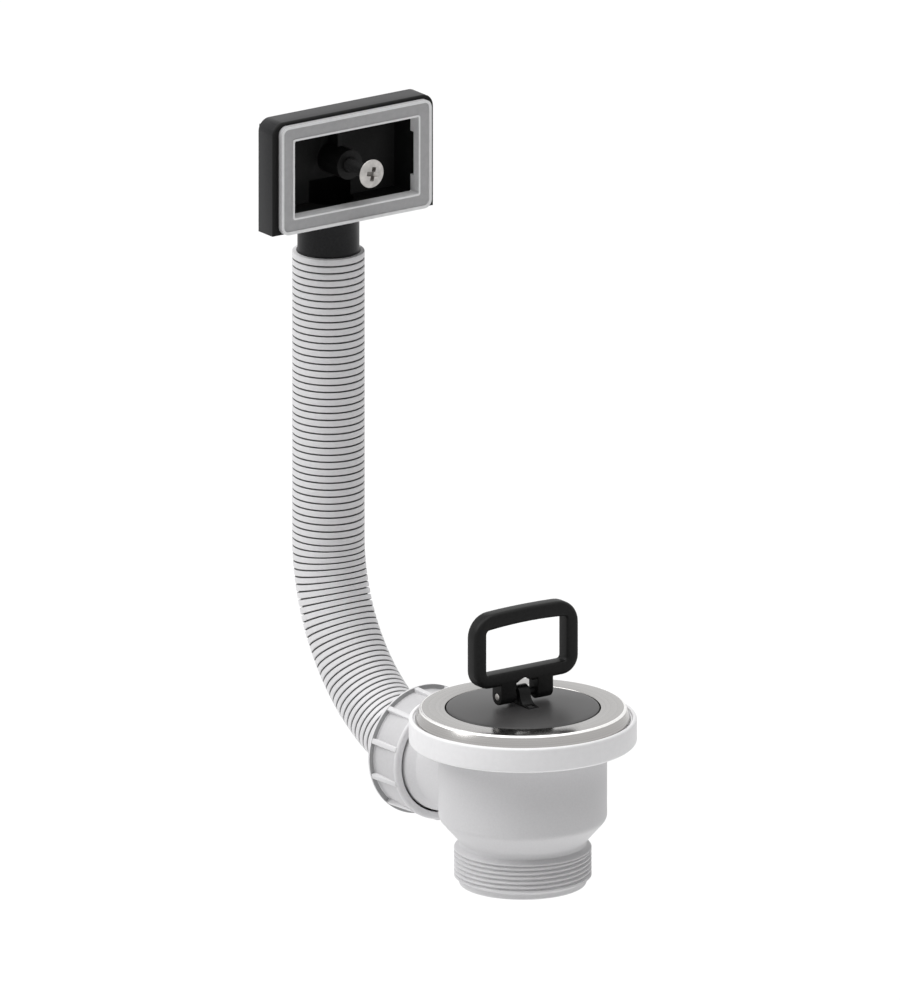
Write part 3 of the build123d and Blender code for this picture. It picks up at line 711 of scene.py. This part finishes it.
outside = [
    (HOSE_RADIUS - END_ROUND, 0.0), (HOSE_RADIUS - END_SHOULDER, END_SHOULDER), (HOSE_RADIUS, END_ROUND),
]
for number in range(RING_COUNT):
    for share, depth in RING_SHAPE:
        # The first ring starts at its crest, with no groove above it
        if number or share >= CREST:
            outside.append((HOSE_RADIUS - depth, (number + share) * RING_LENGTH))
outside.append((HOSE_RADIUS, RINGED_RUN + TAIL_STEP))
outside.append((HOSE_RADIUS, HOSE_LENGTH))
inside = [(HOSE_BORE, HOSE_LENGTH * (1 - row / BORE_ROWS)) for row in range(BORE_ROWS + 1)]
hose = turned("corrugated_hose", [(radius, -along) for radius, along in outside + inside], steps=88)
# The grooves between the rings get painted shade
marked(hose, in_groove)
for vertex in hose.data.vertices:
    x, y, z = vertex.co / MM
    reach, height, turn = hose_axis(-z)
    vertex.co = Vector((x, reach + y * cos(turn), height - y * sin(turn))) * MM
pick(hose)
bpy.ops.object.mode_set(mode="EDIT")
close_up()
smoothed(hose, angle=40)
fitted(hose, "overflow_hose", "waste", "hose_plastic", hose_moulding, groove_shade)

# Overflow head

CAVITY_FRONT, CAVITY_BACK = 103.2, 117.2
CAVITY_HALF_WIDTH, CAVITY_HALF_HEIGHT = 27.5, 15.2
FRONT_EDGE = 103.3

head = copied("overflow_head", "black_head")
softened(head, 0.3)
smoothed(head, angle=35)


def shaded(centre):
    """Whether a point lies in the head's cavity, which gets painted shade, or on its front edge, which is
    made as dark.
    """
    in_opening = abs(centre.x) < CAVITY_HALF_WIDTH and abs(centre.z - HEAD_LEVEL) < CAVITY_HALF_HEIGHT
    return centre.y < FRONT_EDGE or (in_opening and CAVITY_FRONT < centre.y < CAVITY_BACK)


marked(head, shaded)
fitted(head, "overflow_head", "waste", "black_plastic", black_moulding, black_painted_shade)

# Gasket: a frame with a raised bead at its outer and inner edges, and a lip that lines the cavity

# Half width, half height and corner radius of each outline
FRAME_OUTSIDE, FRAME_OPENING = (31.75, 19.6, 3.0), (26.3, 13.95, 0.6)
CHANNEL_OUTSIDE, CHANNEL_INSIDE = (30.75, 18.6, 2.0), (26.9, 14.55, 0.9)
LIP_OUTSIDE = (27.2, 14.85, 1.0)
CHANNEL_START, LIP_START = GASKET_FRONT - 1, GASKET_FRONT + 1.2
FRAME_DEPTH, CHANNEL_DEPTH, LIP_DEPTH = 2.0, 1.5, 4.0
NOTCH_START, NOTCH_END, NOTCH_HALF_WIDTH, NOTCH_HALF_HEIGHT = 103.7, 107, 30, 7.8
BEAD_DEPTH, LINING_HALF_WIDTH, LINING_HALF_HEIGHT = 0.42, 26.4, 14.05


def rectangle(half_width, half_height, radius, depth, segments=8):
    """A rounded rectangle in an upright plane, round the overflow's centre."""
    corners = [
        (-half_width, -half_height, radius), (half_width, -half_height, radius),
        (half_width, half_height, radius), (-half_width, half_height, radius),
    ]
    return [(x, depth, HEAD_LEVEL + z) for x, z in rounded(corners, segments)]


gasket = rim(
    "grey_gasket", rectangle(*FRAME_OUTSIDE, GASKET_FRONT), rectangle(*FRAME_OPENING, GASKET_FRONT),
    (0, FRAME_DEPTH, 0),
)
channel = rim(
    "gasket_channel", rectangle(*CHANNEL_OUTSIDE, CHANNEL_START), rectangle(*CHANNEL_INSIDE, CHANNEL_START),
    (0, CHANNEL_DEPTH, 0),
)
combined(gasket, channel, "DIFFERENCE")
softened(gasket, 0.4, segments=5)
lip = rim(
    "gasket_lip", rectangle(*LIP_OUTSIDE, LIP_START), rectangle(*FRAME_OPENING, LIP_START), (0, LIP_DEPTH, 0)
)
notch = block(
    "gasket_notch",
    (-NOTCH_HALF_WIDTH, NOTCH_START, HEAD_LEVEL - NOTCH_HALF_HEIGHT),
    (NOTCH_HALF_WIDTH, NOTCH_END, HEAD_LEVEL + NOTCH_HALF_HEIGHT),
)
combined(lip, notch, "DIFFERENCE")
combined(gasket, lip, "UNION")
smoothed(gasket, angle=38)


def on_bead_or_lit_lip(centre):
    """Whether a point lies on one of the gasket's beads or on the lip that lines the cavity; these take a
    pale rubber, partly the beads' own tone and partly a painted highlight, and painted light on the lip's
    shaded walls.
    """
    on_lip = abs(centre.x) < LINING_HALF_WIDTH and abs(centre.z - HEAD_LEVEL) < LINING_HALF_HEIGHT
    return on_lip or centre.y < GASKET_FRONT + BEAD_DEPTH


marked(gasket, on_bead_or_lit_lip)
fitted(gasket, "overflow_gasket", "waste", "grey_rubber", grey_rubber, pale_rubber_painted_light)

# Screw of the overflow: a raised countersunk head with a cross, and a fine thread

SHANK_RADIUS, SCREW_END = 2.5, 113.6
SCREW_THREAD_START, SCREW_PITCH, SCREW_DEPTH = 94.2, 0.8, 0.42
SCREW_EDGE, SHANK_SKIN = 0.16, 0.2
CROSS_FRONT, CROSS_FLOOR, CROSS_REACH, CROSS_HALF = 90.0, 92.2, 3.1, 0.8
CROSS_TAPER, CROSS_ARMS, CROSS_TURN = 0.45, 4, 12
CROSS_SHADE_FRONT, CROSS_SHADE_BACK, CROSS_SHADE_RADIUS = 91.0, 92.3, 3.3

screw = turned("overflow_cross_screw", divided(rounded([
    (0, 90.6, 0), (3.2, 90.75, 2.0), (5.1, 91.5, 0.15), (5.0, 91.8, 0.1), (SHANK_RADIUS, 93.7, 0.3),
    (SHANK_RADIUS, 113.2, 0.3), (2.1, SCREW_END, 0), (0, SCREW_END, 0),
], segments=3), SCREW_EDGE), steps=72, axis="Y", level=HEAD_LEVEL)
for vertex in screw.data.vertices:
    x, y, z = vertex.co / MM
    radius = hypot(x, z - HEAD_LEVEL)
    if y > SCREW_THREAD_START and radius > SHANK_RADIUS - SHANK_SKIN:
        winding = (y / SCREW_PITCH - atan2(z - HEAD_LEVEL, x) / (2 * pi)) % 1
        share = 1 - SCREW_DEPTH * abs(winding - 0.5) * 2 / radius
        vertex.co.x *= share
        vertex.co.z = (HEAD_LEVEL + (z - HEAD_LEVEL) * share) * MM
cross = block(
    "cross",
    (-CROSS_REACH, CROSS_FRONT, HEAD_LEVEL - CROSS_HALF),
    (CROSS_REACH, CROSS_FLOOR, HEAD_LEVEL + CROSS_HALF),
)
for vertex in cross.data.vertices:
    if vertex.co.y > (CROSS_FRONT + CROSS_FLOOR) / 2 * MM:
        vertex.co.x *= CROSS_TAPER
ringed(cross, CROSS_ARMS, (0, 1, 0), HEAD_LEVEL)
twisted(cross, CROSS_TURN, "Y", HEAD_LEVEL)
combined(screw, cross, "DIFFERENCE", use_self=True)
smoothed(screw, angle=35)


def in_cross(centre):
    """Whether a point lies in the screw's cross, which gets painted shade."""
    return CROSS_SHADE_FRONT < centre.y < CROSS_SHADE_BACK and hypot(centre.x, centre.z - HEAD_LEVEL) < CROSS_SHADE_RADIUS


# The shank, deep in the head's cavity, gets painted shade
marked(screw, lambda centre: centre.y > CROSS_FLOOR)
# The cross recess gets painted shade
marked(screw, in_cross, finish=2)
fitted(screw, "overflow_screw", "waste", "screw_steel", bright_steel, steel_painted_shade, steel_recess_shade)

# Plug: a low dome with a hub under it and a hinge lug on top

PLUG_RADIUS, PLUG_TOP, PLUG_UNDER = 26.7, 6.3, 2.8
DOME_RISE, DOME_EDGE, DOME_STEPS, DOME_SKIN = 1.8, 26.3, 20, 0.06
DOME_RADIUS = (PLUG_RADIUS ** 2 + DOME_RISE ** 2) / (2 * DOME_RISE)
HUB_OUTSIDE, HUB_INSIDE, HUB_FOOT = 18.0, 16.3, -2.2
LUG_SIDE, LUG_WIDTH, LUG_CROWN = -3.3, 4.5, 3
LUG_TOE, LUG_FOOT = -8.3, 5.2
LUG_EYE_HALF = 6

dome_line = [DOME_EDGE * step / DOME_STEPS for step in range(DOME_STEPS + 1)]
dome = [(radius, PLUG_TOP - radius ** 2 / (2 * DOME_RADIUS)) for radius in dome_line]
plug = turned("plug", dome + [
    (26.55, 4.45), (PLUG_RADIUS, 4.2), (PLUG_RADIUS, 3.1), (26.4, PLUG_UNDER), (HUB_OUTSIDE, PLUG_UNDER),
    (HUB_OUTSIDE, HUB_FOOT), (HUB_INSIDE, HUB_FOOT), (HUB_INSIDE, PLUG_UNDER), (0, PLUG_UNDER),
], steps=224)


def pin_arc(radius, angles):
    """Points of an arc round the hinge pin, as (distance along Y, height)."""
    return [(radius * cos(radians(angle)), PIN_LEVEL + radius * sin(radians(angle))) for angle in angles]


def pin_hole(name, half_length):
    """A round tool that drills the pin's hole."""
    line = [(0, -half_length), (PIN_HOLE, -half_length), (PIN_HOLE, half_length), (0, half_length)]
    return turned(name, line, steps=40, axis="X", level=PIN_LEVEL)


lug_flank = [
    (LUG_TOE, LUG_FOOT), (LUG_TOE, 6.2), (-7.2, 6.38), (-6.2, 6.55), (-5.3, 6.76), (-4.5, 7.25), (-3.8, 8.0),
    (-3.3, 8.85), (-3.0, PIN_LEVEL),
]
lug_line = lug_flank + pin_arc(LUG_CROWN, range(170, 5, -10)) + [(-y, z) for y, z in reversed(lug_flank)]
lug = prism("lug", [(LUG_SIDE, y, z) for y, z in lug_line], (LUG_WIDTH, 0, 0))
hollow = block("lug_hollow", (-2.3, -7.5, 6.25), (0.2, -5.0, 8.0))
combined(lug, hollow, "DIFFERENCE")
softened(lug, 0.25, segments=3)
combined(lug, pin_hole("lug_eye", LUG_EYE_HALF), "DIFFERENCE")
combined(plug, lug, "UNION")
smoothed(plug, angle=35)


def above_dome(centre):
    """Whether a point stands above the plug's dome, on the lug."""
    return centre.z > PLUG_TOP + DOME_SKIN - (centre.x ** 2 + centre.y ** 2) / (2 * DOME_RADIUS)


marked(plug, above_dome)
fitted(plug, "plug_disc", "waste", "black_plastic", plug_moulding, handle_moulding)

# Handle: a loop with a bowed top bar and two knuckles

LOOP_FRONT, LOOP_DEPTH = -3.0, 6.0
TOP_BOW, TOP_STEPS, CORNER_STEPS = 0.8, 12, 8
OUTER_BEVEL, INNER_BEVEL = 1.5, 1.1
KNUCKLE_RADIUS, KNUCKLE_TOP = 2.95, 16.5
KNUCKLE_START, KNUCKLE_WIDTH = 4.5, 6.5
ARCH_RADIUS, ARCH_LEVEL, ARCH_SHIFT, ARCH_HALF = 4.1, 12.0, -0.9, 4
KNUCKLE_EYE_HALF = 12
BAR_INSIDE, BAR_BELOW, BAR_ABOVE = 17.5, 18, 37.2


def loop_line(half_width, low, high, lower_radius, upper_radius):
    """The handle's outline: two lower corners, then a bowed top between two upper corners."""
    plain = rounded([
        (-half_width, low, lower_radius), (half_width, low, lower_radius),
        (half_width, high - TOP_BOW, upper_radius), (-half_width, high - TOP_BOW, upper_radius),
    ], CORNER_STEPS)
    top_start = 3 * (CORNER_STEPS + 1)
    x_start, z_start = plain[top_start - 1]
    x_end = plain[top_start][0]
    top = [(x_start + (x_end - x_start) * step / TOP_STEPS, z_start) for step in range(1, TOP_STEPS)]
    middle = (low + high) / 2
    line = []
    for x, z in plain[:top_start] + top + plain[top_start:]:
        bow = TOP_BOW * (1 - (x / half_width) ** 2) if z > middle else 0
        line.append((x, LOOP_FRONT, z + bow))
    return line


def outermost(point):
    """Whether a point lies on the handle's outer outline."""
    return abs(point.x) > BAR_INSIDE or point.z < BAR_BELOW or point.z > BAR_ABOVE


def outer_edge(start, end):
    """Whether an edge runs along the front or back of the handle's outer outline."""
    return start.y * end.y > 0 and outermost(start) and outermost(end)


def inner_edge(start, end):
    """Whether an edge runs along the front or back of the handle's opening."""
    return start.y * end.y > 0 and not outermost(start) and not outermost(end)


handle = rim(
    "loop_handle",
    loop_line(half_width=22.0, low=14.2, high=41.3, lower_radius=6.5, upper_radius=8.0),
    loop_line(half_width=17.0, low=19.1, high=36.0, lower_radius=1.2, upper_radius=1.2),
    (0, LOOP_DEPTH, 0),
)
choose(handle, outer_edge)
bpy.ops.mesh.bevel(offset=OUTER_BEVEL * MM, segments=5, affect="EDGES")
bpy.ops.object.mode_set(mode="OBJECT")
choose(handle, inner_edge)
bpy.ops.mesh.bevel(offset=INNER_BEVEL * MM, segments=4, affect="EDGES")
bpy.ops.object.mode_set(mode="OBJECT")
knuckle_line = [
    (-KNUCKLE_RADIUS, KNUCKLE_TOP),
    *pin_arc(KNUCKLE_RADIUS, range(180, 361, 12)),
    (KNUCKLE_RADIUS, KNUCKLE_TOP),
]
knuckles = prism("knuckles", [(KNUCKLE_START, y, z) for y, z in knuckle_line], (KNUCKLE_WIDTH, 0, 0))
softened(knuckles, 0.45, segments=3, angle=50)
ringed(knuckles, 2, (0, 0, 1))
combined(handle, knuckles, "UNION")
arch_line = [(0, -ARCH_HALF), (ARCH_RADIUS, -ARCH_HALF), (ARCH_RADIUS, ARCH_HALF), (0, ARCH_HALF)]
arch = turned("handle_arch", arch_line, steps=48, axis="Y", level=ARCH_LEVEL)
arch.data.transform(Matrix.Translation((ARCH_SHIFT * MM, 0, 0)))
combined(handle, arch, "DIFFERENCE")
combined(handle, pin_hole("knuckle_eye", KNUCKLE_EYE_HALF), "DIFFERENCE")
smoothed(handle, angle=35)
fitted(handle, "plug_handle", "handle", "black_plastic", handle_moulding)

# Hinge pin: bright at its two ends, with painted shade in the middle where the lug and the knuckles cover it

PIN_RADIUS, PIN_HALF, PIN_BRIGHT = 1.35, 11, 10.5
pin = turned("steel_pin", rounded([
    (0, -PIN_HALF, 0), (PIN_RADIUS, -PIN_HALF, 0.35), (PIN_RADIUS, PIN_HALF, 0.35), (0, PIN_HALF, 0),
], segments=4), steps=40, axis="X", level=PIN_LEVEL)
smoothed(pin, angle=35)
marked(pin, lambda centre: abs(centre.x) < PIN_BRIGHT)
fitted(pin, "hinge_pin", "handle", "screw_steel", bright_steel, steel_painted_shade)

# Pieces inside, which keep their CAD form

coated("insert_nut", turned_brass)
coated("clamp_screw", bright_steel)
coated("branch_seal", grey_rubber)
coated("boss_insert", turned_brass)
coated("plug_seal", black_rubber)

# Floor, light and camera

FLOOR_SIZE, FLOOR_LEVEL = 8000, -300
SKY_STRENGTH, SEEN_STRENGTH = 0.15, 1.0
PICTURE_WIDTH, PICTURE_HEIGHT = 900, 1000
PIXELS_PER_MM = 2.88
AXIS_COLUMN, FLANGE_ROW = 522.8, 707
CAMERA_DISTANCE, CAMERA_CLIP = 1200, 20000

scene = bpy.context.scene
scene.view_settings.view_transform = "Standard"

bpy.ops.object.select_all(action="DESELECT")
bpy.ops.mesh.primitive_plane_add(size=FLOOR_SIZE * MM, location=(0, 0, FLOOR_LEVEL * MM))
floor = bpy.context.object
floor.name = "floor"
paper = bpy.data.materials.new("white_paper")
paper.use_nodes = True
sheet = paper.node_tree.nodes["Principled BSDF"]
sheet.inputs["Base Color"].default_value = (0.9, 0.9, 0.9, 1)
sheet.inputs["Roughness"].default_value = 0.9
floor.data.materials.append(paper)

AZIMUTH, ELEVATION, PIXEL = radians(35), radians(16.5), MM / PIXELS_PER_MM
rightward = Vector((cos(AZIMUTH), -sin(AZIMUTH), 0))
upward = Vector((sin(AZIMUTH) * sin(ELEVATION), cos(AZIMUTH) * sin(ELEVATION), cos(ELEVATION)))
towards = rightward.cross(upward)

# The room is bright to the eye and in reflections, and lights the part only a little
world = bpy.data.worlds.new("white_room")
scene.world = world
world.use_nodes = True
nodes = world.node_tree.nodes
links = world.node_tree.links
sky = nodes["Background"]
sky.inputs["Color"].default_value = (1, 1, 1, 1)
sky.inputs["Strength"].default_value = SKY_STRENGTH
seen = nodes.new("ShaderNodeBackground")
seen.inputs["Color"].default_value = (1, 1, 1, 1)
seen.inputs["Strength"].default_value = SEEN_STRENGTH
ray = nodes.new("ShaderNodeLightPath")
shown = nodes.new("ShaderNodeMath")
shown.operation = "MAXIMUM"
links.new(ray.outputs["Is Camera Ray"], shown.inputs[0])
links.new(ray.outputs["Is Glossy Ray"], shown.inputs[1])
choice = nodes.new("ShaderNodeMixShader")
links.new(shown.outputs["Value"], choice.inputs["Fac"])
links.new(sky.outputs["Background"], choice.inputs[1])
links.new(seen.outputs["Background"], choice.inputs[2])
links.new(choice.outputs["Shader"], nodes["World Output"].inputs["Surface"])


def lamp(name, direction, strength, angle):
    """A soft lamp far away in a direction."""
    bpy.ops.object.select_all(action="DESELECT")
    bpy.ops.object.light_add(type="SUN", location=direction)
    light = bpy.context.object
    light.name = name
    light.rotation_mode = "QUATERNION"
    light.rotation_quaternion = direction.to_track_quat("Z", "Y")
    light.data.energy = strength
    light.data.angle = radians(angle)


lamp("side_lamp", -rightward * 0.85 + towards * 0.15 + Vector((0, 0, 0.75)), strength=1.55, angle=40)
lamp("top_lamp", towards * 0.1 + Vector((0, 0, 1)), strength=2.1, angle=60)

camera_data = bpy.data.cameras.new("camera")
camera = bpy.data.objects.new("camera", camera_data)
scene.collection.objects.link(camera)
camera_data.type = "ORTHO"
camera_data.ortho_scale = PICTURE_HEIGHT * PIXEL
across = PICTURE_WIDTH / 2 - AXIS_COLUMN
above = FLANGE_ROW - PICTURE_HEIGHT / 2
aim = Vector((0, 0, FLANGE_TOP * MM)) + rightward * across * PIXEL + upward * above * PIXEL
camera.location = aim + towards * (CAMERA_DISTANCE * MM)
camera.rotation_mode = "QUATERNION"
camera.rotation_quaternion = towards.to_track_quat("Z", "Y")
camera_data.clip_end = CAMERA_CLIP * MM
scene.camera = camera
